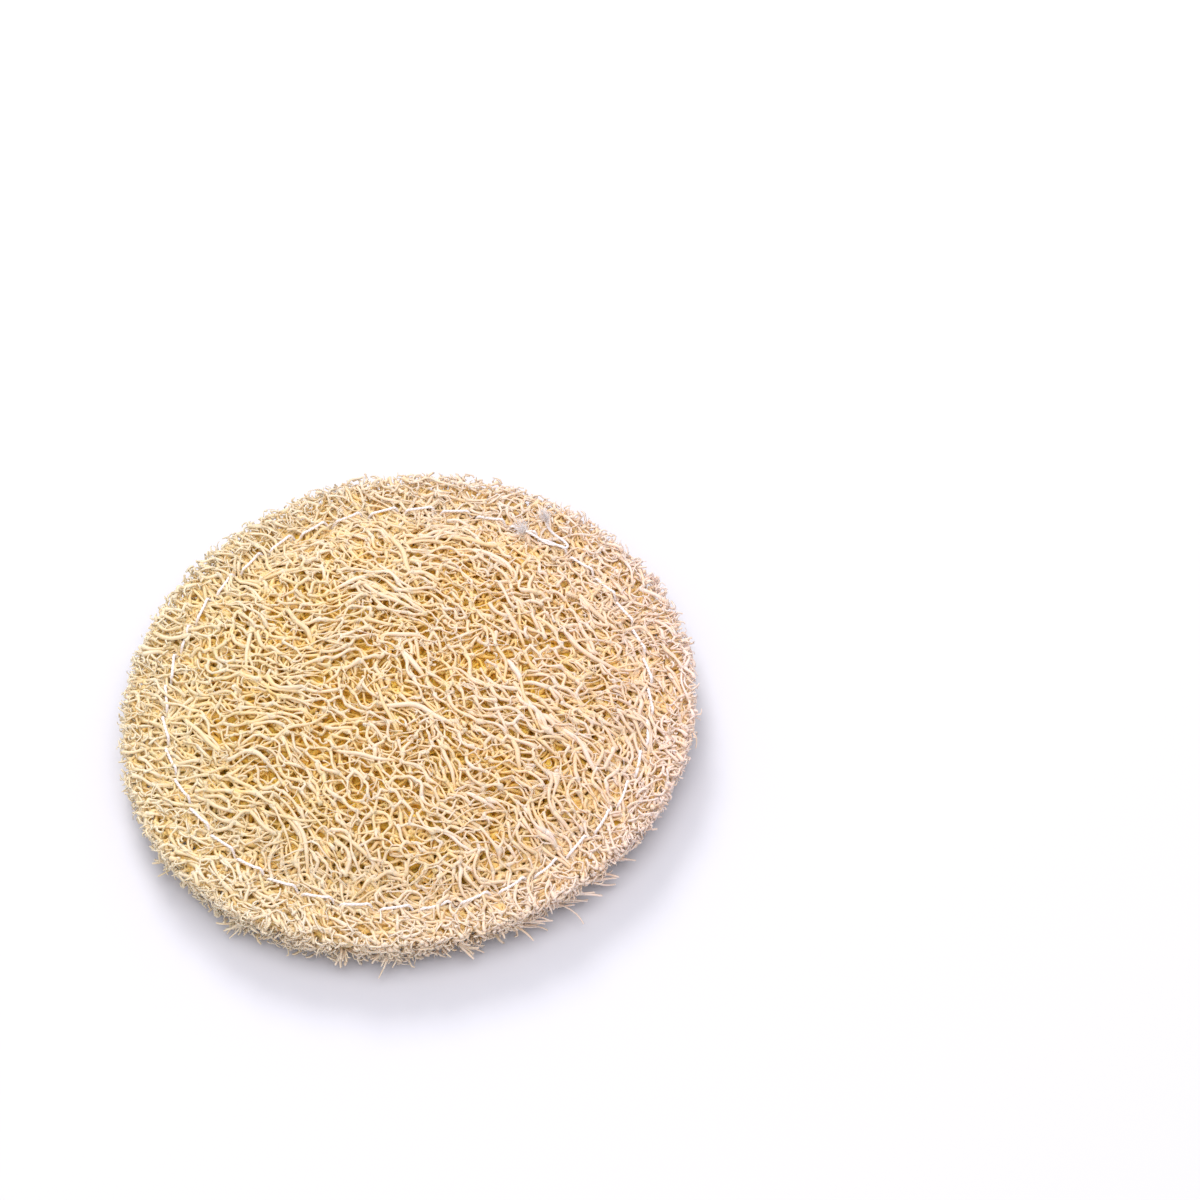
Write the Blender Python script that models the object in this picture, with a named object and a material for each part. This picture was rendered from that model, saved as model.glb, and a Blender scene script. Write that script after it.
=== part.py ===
"""A round loofah pad: two sheets of dried loofah net, laid face to face and sewn together near the rim.

Metres, +Z up. The origin is the middle of the underside, on the surface that the pad lies on.
"""

import math
import random

import bmesh
import bpy
from mathutils import Vector
from mathutils.geometry import delaunay_2d_cdt

# The pad, and the heights of its faces above the surface it lies on
PAD_RADIUS = 0.0395
SEAM_RADIUS = 0.0335
FOOT_RADIUS = 0.020
MEETING_HEIGHT = 0.0048
SHEET_GAP = 0.0003
UPPER_CENTRE = 0.0108
UPPER_SEAM = 0.0070
UPPER_RIM = 0.0075
LOWER_SEAM = 0.0024
LOWER_RIM = 0.0017

# The groove that the seam pulls into both faces
GROOVE_HALF_WIDTH = 0.0016
GROOVE_INSIDE = SEAM_RADIUS - GROOVE_HALF_WIDTH
GROOVE_OUTSIDE = SEAM_RADIUS + GROOVE_HALF_WIDTH

# The net: ribs of fibre round open cells
RIB_HALF_WIDTH = 0.00042
PIT_DEPTH = 0.0017
PIT_BOWL = 0.0004
PIT_WIDTH_SHARES = (0.4, 0.8)
DEEPEST_PIT_SHARE = 0.5
CELL_SLIMNESS = 0.8
SHORTEST_RIB = 0.0006
RIDGE_WAVE = 0.0004
FOOT_PATCH_WIDTH = 0.0032
ROW_BEND = 0.0019
ROW_BEND_LENGTHS = (0.0080, 0.0074)
ROW_BEND_STARTS = (0.7, 2.1)
CELL_JITTER = 0.32
NET_LIMIT = SEAM_RADIUS - 0.0026
RIM_CELL_RINGS = (0.0362, 0.0383)
RIM_GUARD_RADIUS = 2 * PAD_RADIUS - RIM_CELL_RINGS[-1]

# The cut edge, where fibre ends stand out
WALL_BULGE = 0.0003
WALL_ROUGHNESS = 0.00035
BLUNT_STUB = 0.0008
LONG_STUBS = (0.0008, 0.0019)
LOWEST_STUB = 0.0001
STUB_LEAN = 0.9
STUB_RISE = (0.05, 0.4)
# Foot and tip of a long stub: how wide it is beside what it grows from, and its share of the length
STUB_STEPS = ((0.42, 0.1), (0.35, 0.9))

# The seam: a needle thread above and a bobbin thread below, hooked together in each needle hole
STITCH_COUNT = 40
SEAM_START = math.radians(58)
HOLE_RADIUS = 0.0012
HOLE_LIP = 0.0010
LONGEST_HOLE_SIDE = 0.0012
THREAD_RADIUS = 0.00022
THREAD_LIFT = 0.00055
STITCH_FOOT = 0.00105

# Points of the threads at a needle hole: along the seam, outwards, and above the meeting height
NEEDLE_BEND = ((-0.00035, 0.0, -0.0003), (0.00035, 0.0, -0.0003))
BOBBIN_HOOK = (
    (-0.0002, 0.00055, -0.0002),
    (-0.0001, 0.0004, 0.00035),
    (0.0001, -0.0004, 0.00035),
    (0.0002, -0.00055, -0.0002),
)

# Points of the loose tails: along the seam from the end hole, outwards, and above the stitches
FIRST_NEEDLE_TAIL = ((-0.0050, 0.0010, 0.0010), (-0.0042, 0.0009, 0.0), (-0.0022, 0.0006, 0.0))
LAST_NEEDLE_TAIL = ((0.0022, -0.0004, 0.0), (0.0042, -0.0007, 0.0), (0.0050, -0.0008, 0.0010))
FIRST_BOBBIN_TAIL = ((-0.0035, 0.0007, 0.0),)
LAST_BOBBIN_TAIL = ((0.0035, -0.0007, 0.0),)

NET, HOLE, BED, FOOT, GUARD, WALL = range(6)


def smooth(share):
    share = min(max(share, 0.0), 1.0)
    return share * share * (3 - 2 * share)


def upper_thickness(radius):
    """How far the upper sheet's outer face stands above the plane where the sheets meet."""
    dome = 1 - min(radius / GROOVE_INSIDE, 1.0) ** 4
    rise = smooth((radius - GROOVE_OUTSIDE) / (PAD_RADIUS - GROOVE_OUTSIDE))
    height = UPPER_SEAM + (UPPER_CENTRE - UPPER_SEAM) * dome + (UPPER_RIM - UPPER_SEAM) * rise
    return height - MEETING_HEIGHT


def lower_thickness(radius):
    """How far the lower sheet's outer face hangs below the plane where the sheets meet."""
    lift = smooth((radius - FOOT_RADIUS) / (GROOVE_INSIDE - FOOT_RADIUS))
    fall = smooth((radius - GROOVE_OUTSIDE) / (PAD_RADIUS - GROOVE_OUTSIDE))
    return MEETING_HEIGHT - LOWER_SEAM * lift - (LOWER_RIM - LOWER_SEAM) * fall


def on_circle(radius, angle):
    return Vector((radius * math.cos(angle), radius * math.sin(angle)))


def stitch_angle(index):
    return SEAM_START + index * math.tau / STITCH_COUNT


def net_seeds(spacing, grain, rng):
    """Middles of the net's cells inside the seam: staggered rows along the grain, bent and jittered."""
    along, across = spacing
    reach = int(2 * PAD_RADIUS / across)
    found = []
    for row in range(-reach, reach + 1):
        for column in range(-reach, reach + 1):
            u = (column + 0.5 * (row % 2) + rng.uniform(-CELL_JITTER, CELL_JITTER)) * along
            v = (row + rng.uniform(-CELL_JITTER, CELL_JITTER)) * across
            x = u * math.cos(grain) - v * math.sin(grain)
            y = u * math.sin(grain) + v * math.cos(grain)
            x += ROW_BEND * math.sin(y / ROW_BEND_LENGTHS[0] + ROW_BEND_STARTS[0])
            y += ROW_BEND * math.sin(x / ROW_BEND_LENGTHS[1] + ROW_BEND_STARTS[1])
            if math.hypot(x, y) < NET_LIMIT:
                found.append((Vector((x, y)), NET))
    return found


def seam_and_rim_seeds(rim_counts, rng):
    """Middles of the needle holes, of the beds that the thread lies on, and of the cells out to the rim."""
    found = []
    for index in range(STITCH_COUNT):
        found.append((on_circle(SEAM_RADIUS, stitch_angle(index)), HOLE))
        found.append((on_circle(SEAM_RADIUS, stitch_angle(index + 0.5)), BED))
    for radius, count in zip(RIM_CELL_RINGS, rim_counts):
        turn = rng.random()
        for index in range(count):
            angle = (index + turn + rng.uniform(-0.2, 0.2)) * math.tau / count
            found.append((on_circle(radius, angle), NET))
            if radius == RIM_CELL_RINGS[-1]:
                found.append((on_circle(RIM_GUARD_RADIUS, angle), GUARD))
    return found


def circumcentre(a, b, c):
    ab, ac = b - a, c - a
    cross = 2 * ab.cross(ac)
    square_ab, square_ac = ab.length_squared, ac.length_squared
    return a + Vector((
        (ac.y * square_ab - ab.y * square_ac) / cross,
        (ab.x * square_ac - ac.x * square_ab) / cross,
    ))


def add_cells(bm, seeds, kind):
    """Adds one flat face for the ground nearest to each seed. Three ribs meet at each corner."""
    points, _, triangles, sources, _, _ = delaunay_2d_cdt(
        [place for place, _ in seeds], [], [], 0, 1e-7
    )
    corners = [circumcentre(*(points[i] for i in triangle)) for triangle in triangles]
    verts = [None] * len(corners)
    around = [[] for _ in points]
    for number, triangle in enumerate(triangles):
        for i in triangle:
            around[i].append(number)
    for i, numbers in enumerate(around):
        cell_kind = seeds[sources[i][0]][1]
        if cell_kind == GUARD:
            continue
        numbers.sort(key=lambda n: math.atan2(*(corners[n] - points[i]).yx))
        for n in numbers:
            verts[n] = verts[n] or bm.verts.new((*corners[n], 0.0))
        bm.faces.new([verts[n] for n in numbers])[kind] = cell_kind
    bmesh.ops.remove_doubles(bm, verts=bm.verts, dist=SHORTEST_RIB)


def widen_hole_outlines(bm, kind):
    """Gives the long sides of the needle holes a middle point, a quarter of a stitch from the needle."""
    holes = [face for face in bm.faces if face[kind] == HOLE]
    for edge in [edge for face in holes for edge in face.edges]:
        if edge.calc_length() < LONGEST_HOLE_SIDE:
            continue
        beside_bed = BED in [face[kind] for face in edge.link_faces]
        middle = bmesh.utils.edge_split(edge, edge.verts[0], 0.5)[1]
        if beside_bed:
            stitches = (math.atan2(middle.co.y, middle.co.x) - SEAM_START) * STITCH_COUNT / math.tau
            middle.co.xy = on_circle(SEAM_RADIUS, stitch_angle(math.floor(2 * stitches) / 2 + 0.25))


def raise_ridges(bm, kind, thickness, wave_inside, wave_outside, rng):
    """Lifts the net to the sheet's outer face, with the ribs rising and dipping off the groove."""
    for vert in bm.verts:
        radius = vert.co.xy.length
        if any(face[kind] in (HOLE, BED) for face in vert.link_faces):
            vert.co.z = thickness(SEAM_RADIUS)
            continue
        wave = wave_outside if radius > FOOT_RADIUS + SHORTEST_RIB else wave_inside
        vert.co.z = thickness(radius) - wave * rng.random()


def add_rim_wall(bm, kind, rng):
    """Carries the net's outline down to the meeting plane as two rows of faces, and returns them."""
    outline = [vert for vert in bm.verts if vert.is_boundary]
    outline.sort(key=lambda vert: math.atan2(vert.co.y, vert.co.x))
    wall = []
    for height_share, bulge in ((0.5, WALL_BULGE), (0.0, 0.0)):
        below = []
        for vert in outline:
            reach = PAD_RADIUS + bulge + rng.uniform(-1, 1) * WALL_ROUGHNESS
            flat = vert.co.xy * (reach / vert.co.xy.length)
            below.append(bm.verts.new((*flat, vert.co.z * height_share)))
        for a, b, c, d in zip(outline, outline[1:] + outline[:1], below[1:] + below[:1], below):
            wall.append(bm.faces.new((a, d, c, b)))
            wall[-1][kind] = WALL
        outline = below
    return wall


def add_stubs(bm, wall, count, rng):
    """Draws some wall faces out into long fibre ends, and makes the rest into short blunt ones."""
    long_ones = rng.sample(wall, count)
    for face in wall:
        if face not in long_ones:
            bmesh.ops.poke(bm, faces=[face], offset=rng.uniform(0.0, BLUNT_STUB))
    for face in long_ones:
        middle = face.calc_center_median()
        out = Vector((middle.x, middle.y, 0)).normalized()
        side = Vector((-out.y, out.x, 0))
        lean = out + side * rng.uniform(-STUB_LEAN, STUB_LEAN) + Vector((0, 0, rng.uniform(*STUB_RISE)))
        length = rng.uniform(*LONG_STUBS)
        for width_share, length_share in STUB_STEPS:
            face = bmesh.ops.extrude_discrete_faces(bm, faces=[face])["faces"][0]
            middle = face.calc_center_median()
            for vert in face.verts:
                vert.co = middle + (vert.co - middle) * width_share + lean * (length_share * length)
                vert.co.z = max(vert.co.z, LOWEST_STUB)


def open_pits(bm, kind, thickness, rng):
    """Sinks each cell between its ribs, to a bowl with the fibre bundles round it standing.

    Cells are longer than they are wide, so half a cell's width is less than the radius of an equal circle.
    """
    narrowest, widest = PIT_WIDTH_SHARES
    for cell in [face for face in bm.faces if face[kind] == NET]:
        face = bmesh.ops.extrude_discrete_faces(bm, faces=[cell])["faces"][0]
        middle = face.calc_center_median()
        half_width = CELL_SLIMNESS * math.sqrt(face.calc_area() / math.pi)
        scale = min(max(1 - RIB_HALF_WIDTH / half_width, narrowest), widest)
        depth = min(PIT_DEPTH, DEEPEST_PIT_SHARE * thickness(middle.xy.length)) * rng.uniform(0.7, 1.0)
        for vert in face.verts:
            vert.co = middle + (vert.co - middle) * scale
            vert.co.z = middle.z - depth
        bmesh.ops.poke(bm, faces=[face], offset=-PIT_BOWL)


def open_needle_holes(bm, kind):
    """Makes each needle hole a funnel and then a round passage, down to the meeting plane."""
    cells = [face for face in bm.faces if face[kind] == HOLE]
    needles = [on_circle(SEAM_RADIUS, stitch_angle(index)) for index in range(STITCH_COUNT)]
    for face in bmesh.ops.extrude_discrete_faces(bm, faces=cells)["faces"]:
        middle = face.calc_center_median().xy
        needle = min(needles, key=lambda place: (place - middle).length)
        for vert in face.verts:
            vert.co.xy = needle + (vert.co.xy - needle).normalized() * HOLE_RADIUS
            vert.co.z -= HOLE_LIP
        end = bmesh.ops.extrude_discrete_faces(bm, faces=[face])["faces"][0]
        for vert in end.verts:
            vert.co.z = 0.0
        bmesh.ops.delete(bm, geom=[end], context="FACES_ONLY")


def close_meeting_face(bm):
    """Fills the flat face that lies on the other sheet, round the needle holes."""
    rims = [edge for edge in bm.edges if edge.is_boundary]
    bmesh.ops.triangle_fill(bm, use_beauty=True, edges=rims)


def make_sheet(name, side, thickness, net, rim_counts, stub_count, seed, material):
    """One sheet of loofah net, made face up and then set above or below the meeting plane."""
    rng = random.Random(seed)
    bm = bmesh.new()
    kind = bm.faces.layers.int.new("kind")
    seeds = net_seeds(*net, rng) + seam_and_rim_seeds(rim_counts, rng)
    if side < 0:
        seeds = [(place, cell) for place, cell in seeds if place.length > FOOT_PATCH_WIDTH]
        seeds.append((Vector((0.0, 0.0)), FOOT))
    add_cells(bm, seeds, kind)
    widen_hole_outlines(bm, kind)
    raise_ridges(bm, kind, thickness, RIDGE_WAVE if side > 0 else 0.0, RIDGE_WAVE, rng)
    wall = add_rim_wall(bm, kind, rng)
    bm.normal_update()
    add_stubs(bm, wall, stub_count, rng)
    open_pits(bm, kind, thickness, rng)
    open_needle_holes(bm, kind)
    close_meeting_face(bm)
    squeeze = 1 - SHEET_GAP / 2 / MEETING_HEIGHT
    for vert in bm.verts:
        vert.co.z = MEETING_HEIGHT + side * (SHEET_GAP / 2 + vert.co.z * squeeze)
    bmesh.ops.recalc_face_normals(bm, faces=bm.faces)
    if bm.calc_volume(signed=True) < 0:
        bmesh.ops.reverse_faces(bm, faces=bm.faces)
    mesh = bpy.data.meshes.new(name)
    bm.to_mesh(mesh)
    bm.free()
    mesh.materials.append(material)
    bpy.context.scene.collection.objects.link(bpy.data.objects.new(name, mesh))


def in_pad(index, point):
    """A point given along the seam, outwards and up at one needle hole, as a point of the pad."""
    along, outwards, height = point
    angle = stitch_angle(index)
    place = on_circle(SEAM_RADIUS + outwards, angle) + on_circle(along, angle + math.pi / 2)
    return Vector((*place, height))


def raised(points, height):
    return [(along, outwards, height + above) for along, outwards, above in points]


def thread_route(height, in_hole, first_tail, last_tail):
    """From hole to hole at one height, with a bend in each hole and a loose tail at each end of the seam."""
    stitch = [(-STITCH_FOOT, 0.0, height), *raised(in_hole, MEETING_HEIGHT), (STITCH_FOOT, 0.0, height)]
    route = [in_pad(0, point) for point in raised(first_tail, height)]
    for index in range(STITCH_COUNT):
        route += [in_pad(index, point) for point in stitch]
    return route + [in_pad(STITCH_COUNT - 1, point) for point in raised(last_tail, height)]


def needle_thread_route():
    """Over the pad, with a U down into each hole."""
    return thread_route(UPPER_SEAM + THREAD_LIFT, NEEDLE_BEND, FIRST_NEEDLE_TAIL, LAST_NEEDLE_TAIL)


def bobbin_thread_route():
    """Under the pad. In each hole it goes up one side of the needle thread's U and over it."""
    return thread_route(LOWER_SEAM - THREAD_LIFT, BOBBIN_HOOK, FIRST_BOBBIN_TAIL, LAST_BOBBIN_TAIL)


def make_thread(name, route, material):
    curve = bpy.data.curves.new(name, "CURVE")
    curve.dimensions = "3D"
    curve.bevel_depth = THREAD_RADIUS
    curve.bevel_resolution = 0
    curve.use_fill_caps = True
    spline = curve.splines.new("POLY")
    spline.points.add(len(route) - 1)
    for point, place in zip(spline.points, route):
        point.co = (*place, 1.0)
    curve.materials.append(material)
    bpy.context.scene.collection.objects.link(bpy.data.objects.new(name, curve))


def make_material(name, colour, roughness):
    material = bpy.data.materials.new(name)
    material.use_nodes = True
    shader = material.node_tree.nodes["Principled BSDF"]
    shader.inputs["Base Color"].default_value = (*colour, 1.0)
    shader.inputs["Roughness"].default_value = roughness
    shader.inputs["Metallic"].default_value = 0.0
    return material


def main():
    for obj in list(bpy.data.objects):
        bpy.data.objects.remove(obj)
    fibre = make_material("dried_loofah_fibre", (0.83, 0.70, 0.44), 0.75)
    cotton = make_material("white_cotton_thread", (0.90, 0.89, 0.90), 0.8)
    upper_net = ((0.0056, 0.0030), math.radians(118))
    lower_net = ((0.0075, 0.0048), math.radians(35))
    make_sheet("upper_sheet", 1, upper_thickness, upper_net, (50, 56), 42, 7, fibre)
    make_sheet("lower_sheet", -1, lower_thickness, lower_net, (42, 46), 30, 19, fibre)
    make_thread("needle_thread", needle_thread_route(), cotton)
    make_thread("bobbin_thread", bobbin_thread_route(), cotton)


main()
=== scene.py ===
"""The looks of a round loofah pad: nets of dried fibre, a cut edge, a seam, and the light and camera."""
import math

import bpy
import numpy as np
from mathutils import Matrix, Vector
from mathutils.geometry import delaunay_2d_cdt


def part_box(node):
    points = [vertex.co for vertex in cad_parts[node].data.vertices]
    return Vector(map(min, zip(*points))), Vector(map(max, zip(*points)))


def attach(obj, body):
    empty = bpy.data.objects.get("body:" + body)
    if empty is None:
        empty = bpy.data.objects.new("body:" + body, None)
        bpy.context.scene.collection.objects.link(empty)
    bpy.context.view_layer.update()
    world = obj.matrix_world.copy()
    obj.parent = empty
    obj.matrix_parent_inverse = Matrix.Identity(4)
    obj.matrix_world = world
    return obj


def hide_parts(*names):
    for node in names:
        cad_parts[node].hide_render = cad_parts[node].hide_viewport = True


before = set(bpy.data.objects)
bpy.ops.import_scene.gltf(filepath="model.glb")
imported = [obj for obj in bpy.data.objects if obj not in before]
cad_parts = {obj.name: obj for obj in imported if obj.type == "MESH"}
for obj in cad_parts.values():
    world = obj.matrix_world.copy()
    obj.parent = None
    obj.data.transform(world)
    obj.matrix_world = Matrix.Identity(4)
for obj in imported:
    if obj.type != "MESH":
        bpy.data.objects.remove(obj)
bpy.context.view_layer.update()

MM = 0.001

# The pad's own sizes, as its solids have them
PAD_RADIUS = 39.5 * MM
SEAM_RADIUS = 33.5 * MM
FOOT_RADIUS = 20 * MM
GROOVE_HALF_WIDTH = 1.6 * MM
MEETING_HEIGHT = (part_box("lower_sheet")[1][2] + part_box("upper_sheet")[0][2]) / 2
UPPER_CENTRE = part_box("upper_sheet")[1][2]
UPPER_SEAM = 7.0 * MM
UPPER_RIM = 7.4 * MM
LOWER_SEAM = 2.3 * MM
LOWER_RIM = 1.6 * MM
GROOVE_INSIDE = SEAM_RADIUS - GROOVE_HALF_WIDTH
GROOVE_OUTSIDE = SEAM_RADIUS + GROOVE_HALF_WIDTH

# The cut edge is a little oval, and less so three-cornered. The lower sheet is drawn back under the upper
# one, by the first of two lengths all round and by the second at one spot
LONG_AXIS = math.radians(228)
OUT_OF_ROUND = 0.7 * MM
THREE_CORNERED_SHARE = 0.4
DRAWN_BACK_AT = math.radians(-46)
DRAWN_BACK_WIDTH = math.radians(20)
DRAWN_BACK = (0.7 * MM, 1.9 * MM)
UPPER_DRAWN_BACK = 0.5 * MM

# The seam. Its stitches lie a little aslant, and each needle hole draws the net in round it
STITCH_COUNT = 40
SEAM_START = math.radians(58)
STITCH_PITCH = math.tau / STITCH_COUNT
STITCH_SLANT_MM = 0.3
DIMPLE_DEPTH = 0.9 * MM
DIMPLE_WIDTH = 1.0 * MM

# The fibres take on a painted golden glow between these depths inside the net. It stands in for the light
# that bounces between the fibres there, and is no colour of their own
PAINTED_GLOW_FROM = 0.4 * MM
PAINTED_GLOW_FULL = 2.2 * MM

# A wandering value is the sum of this many waves, over a sum that they seldom pass
WANDER_WAVES = 4
WANDER_LENGTHS = (0.7, 1.4)
WANDER_HIGHEST = 2.4


def smooth(share):
    share = np.clip(share, 0.0, 1.0)
    return share * share * (3 - 2 * share)


def needle_nearness(x, y):
    """1 at a needle hole, falling to 0 about two millimetres away from it."""
    off = (np.arctan2(y, x) - SEAM_START) / STITCH_PITCH
    along = (off - np.round(off)) * STITCH_PITCH * SEAM_RADIUS
    across = np.hypot(x, y) - SEAM_RADIUS
    return np.exp(-(along**2 + across**2) / DIMPLE_WIDTH**2)


def rim_radius(x, y, side):
    """The radius of a sheet's cut edge in the direction of each place."""
    turn = np.arctan2(y, x) - LONG_AXIS
    rim = PAD_RADIUS + OUT_OF_ROUND * (np.cos(2 * turn) + THREE_CORNERED_SHARE * np.cos(3 * turn))
    nearness = np.exp((np.cos(turn - DRAWN_BACK_AT + LONG_AXIS) - 1) / DRAWN_BACK_WIDTH**2)
    drawn_back = DRAWN_BACK[0] + (DRAWN_BACK[1] - DRAWN_BACK[0]) * nearness
    return rim - (drawn_back if side < 0 else UPPER_DRAWN_BACK * nearness)


def upper_face(x, y):
    radius = np.hypot(x, y)
    dome = 1 - np.minimum(radius / GROOVE_INSIDE, 1.0) ** 4
    rise = smooth((radius - GROOVE_OUTSIDE) / (PAD_RADIUS - GROOVE_OUTSIDE))
    height = UPPER_SEAM + (UPPER_CENTRE - UPPER_SEAM) * dome + (UPPER_RIM - UPPER_SEAM) * rise
    return height - DIMPLE_DEPTH * needle_nearness(x, y)


def lower_face(x, y):
    radius = np.hypot(x, y)
    lift = smooth((radius - FOOT_RADIUS) / (GROOVE_INSIDE - FOOT_RADIUS))
    fall = smooth((radius - GROOVE_OUTSIDE) / (PAD_RADIUS - GROOVE_OUTSIDE))
    height = LOWER_SEAM * lift + (LOWER_RIM - LOWER_SEAM) * fall
    return height + DIMPLE_DEPTH * needle_nearness(x, y)


def open_face(side):
    """The outer face of the upper sheet, whose side is 1, or of the lower one, whose side is -1."""
    return upper_face if side > 0 else lower_face


def depth_inside(paths, side):
    """0 for what lies at a sheet's open face or at the cut edge, up to 1 for what lies far inside the net:
    the share of the painted golden glow that stands in for light bounced between the fibres.
    """
    x, y, z = np.moveaxis(paths, 2, 0)
    below_face = side * (open_face(side)(x, y) - z)
    behind_edge = rim_radius(x, y, side) - np.hypot(x, y)
    return np.clip((np.minimum(below_face, behind_edge) - PAINTED_GLOW_FROM) / (PAINTED_GLOW_FULL - PAINTED_GLOW_FROM), 0, 1)


def wander(places, wavelength, rng):
    """A smooth random value from about -1 to 1 at each place, that changes over the given length."""
    total = np.zeros(len(places))
    for _ in range(WANDER_WAVES):
        angle, phase = rng.uniform(0, math.tau, 2)
        stretch = wavelength * rng.uniform(*WANDER_LENGTHS)
        total += np.sin((places @ (math.cos(angle), math.sin(angle))) * math.tau / stretch + phase)
    return total / WANDER_HIGHEST


# The net. An even net of cells is drawn in units of a cell, then stretched along its grain and bent

# Lengths in mm over which the grain turns, and how steeply it turns there
TURNS = ((30, 0.35), (30, 0.35), (17, 0.4), (17, 0.4), (10, 0.3), (10, 0.3), (6, 0.2), (6, 0.2))
SEED_JITTER = 0.42
CORNER_ROUNDING = 0.3
GRAIN_STEP = 0.02
ROW_SPACING = math.sqrt(0.75)
OUTER_THICK = 0.28 * MM


class Layer:
    """One level of a sheet's net. Sizes are in mm, and the grain is in degrees from the X axis.

    In the middle of the pad the level lies at its depth below the open face. Towards the cut edge it moves
    to its share at_edge of the way through the sheet.
    """

    def __init__(self, name, cell, grain, bend, depth, at_edge, thick, wave, missing, points, sides, seed):
        self.name = name
        self.along, self.across = (size * MM for size in cell)
        self.grain = math.radians(grain)
        self.bend = bend
        self.depth, self.thick, self.wave = depth * MM, thick * MM, wave * MM
        # The thick strands inside stop short of the cut edge, where their ends would show as knobs
        self.inset = 2 * max(self.thick - OUTER_THICK, 0.0)
        self.at_edge = at_edge
        self.missing = missing
        self.points, self.sides = points, sides
        self.rng = np.random.default_rng(seed)
        self.turns = [
            (self.rng.uniform(0, math.pi), self.rng.uniform(0, math.tau), length * MM, slope)
            for length, slope in TURNS
        ]

    def lay(self, points):
        """Points of the even net, as places on the pad. Each turn slides the net along its own crests,
        which bends the fibres and leaves the size of the cells as it is."""
        u = points[:, 0] * self.along
        v = points[:, 1] * self.across + self.bend * u * u / 2
        cos, sin = math.cos(self.grain), math.sin(self.grain)
        places = np.stack([u * cos - v * sin, u * sin + v * cos], axis=1)
        for angle, phase, length, slope in self.turns:
            over = np.array([math.cos(angle), math.sin(angle)])
            crest = np.array([-over[1], over[0]])
            slide = slope * length / math.tau * np.sin(places @ over * math.tau / length + phase)
            places = places + slide[:, None] * crest
        return places

    def grain_at(self, points):
        """The direction that the fibres take at each point."""
        step = np.array([GRAIN_STEP, 0.0])
        ahead = self.lay(points + step) - self.lay(points - step)
        return ahead / np.linalg.norm(ahead, axis=1, keepdims=True)

    def seeds(self):
        """One point in each cell, in staggered rows, all of them moved a little."""
        reach = int(2 * PAD_RADIUS / self.across) + 2
        rows = np.arange(-reach, reach + 1)
        s, t = np.meshgrid(rows, rows)
        s = s + 0.5 * (t % 2)
        points = np.stack([s.ravel(), t.ravel() * ROW_SPACING], axis=1)
        points = points + self.rng.uniform(-SEED_JITTER, SEED_JITTER, points.shape)
        return points[np.hypot(*self.lay(points).T) < PAD_RADIUS + 2 * self.along]


def cell_net(seeds):
    """The borders between the seeds' grounds: corner points, and the pairs of them that a fibre joins."""
    points, _, triangles, _, _, _ = delaunay_2d_cdt([Vector(seed) for seed in seeds], [], [], 0, 1e-9)
    points = np.array([point[:] for point in points])
    triangles = np.array(triangles)
    a, b, c = (points[triangles[:, k]] for k in range(3))
    ab, ac = b - a, c - a
    cross = 2 * (ab[:, 0] * ac[:, 1] - ab[:, 1] * ac[:, 0])
    square_ab, square_ac = (ab**2).sum(1), (ac**2).sum(1)
    centre = a + np.stack([
        (ac[:, 1] * square_ab - ab[:, 1] * square_ac) / cross,
        (ab[:, 0] * square_ac - ac[:, 0] * square_ab) / cross,
    ], axis=1)
    corners = CORNER_ROUNDING * (a + b + c) / 3 + (1 - CORNER_ROUNDING) * centre
    sides = np.concatenate([triangles[:, [0, 1]], triangles[:, [1, 2]], triangles[:, [2, 0]]])
    sides.sort(axis=1)
    owner = np.tile(np.arange(len(triangles)), 3)
    order = np.lexsort((owner, sides[:, 1], sides[:, 0]))
    sides, owner = sides[order], owner[order]
    shared = (sides[1:] == sides[:-1]).all(axis=1)
    return corners, np.stack([owner[:-1][shared], owner[1:][shared]], axis=1)


# How the fibres of a net vary. Two values in brackets are the least and the most
CURVE_FULLNESS = 1.15
CUT_SHORT_MM = (-0.1, 0.8)
CORNER_DIP = (-1, 0.35)
CORNER_THICK_SPREAD = 0.2
CORNER_TONE = 0.5
CORNER_TONE_SPREAD = 0.24
SHORTEST_FIBRE = 0.25 * MM
LONGEST_FIBRE_CELLS = 3
GRAIN_HOLD = 2.2
FIBRE_BEND = 0.11
FIBRE_WAVE = (-0.7, 0.6)
WAIST = (0.55, 0.95)
CORNER_FLARE = 1.1


def curve_between(start, end, leave, arrive, count):
    """Points along a smooth curve between each pair of places, in the given directions at its ends."""
    t = np.linspace(0, 1, count)[None, :, None]
    span = CURVE_FULLNESS * np.linalg.norm(end - start, axis=1)[:, None, None]
    return (
        (2 * t**3 - 3 * t**2 + 1) * start[:, None]
        + (t**3 - 2 * t**2 + t) * leave[:, None] * span
        + (3 * t**2 - 2 * t**3) * end[:, None]
        + (t**3 - t**2) * arrive[:, None] * span
    )


def cut_at_rim(ends, side, inset, rng):
    """Shortens the fibres that cross the cut edge, and says which fibres lie inside it."""
    short = inset + rng.uniform(*CUT_SHORT_MM, len(ends[0])) * MM
    beyond = [np.hypot(*end.T) - rim_radius(*end.T, side) + short for end in ends]
    for here, there in ((0, 1), (1, 0)):
        cut = (beyond[here] < 0) & (beyond[there] >= 0)
        share = (beyond[here][cut] / (beyond[here][cut] - beyond[there][cut]))[:, None]
        ends[there][cut] = ends[here][cut] + (ends[there][cut] - ends[here][cut]) * share
    return (beyond[0] < 0) | (beyond[1] < 0)


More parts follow.
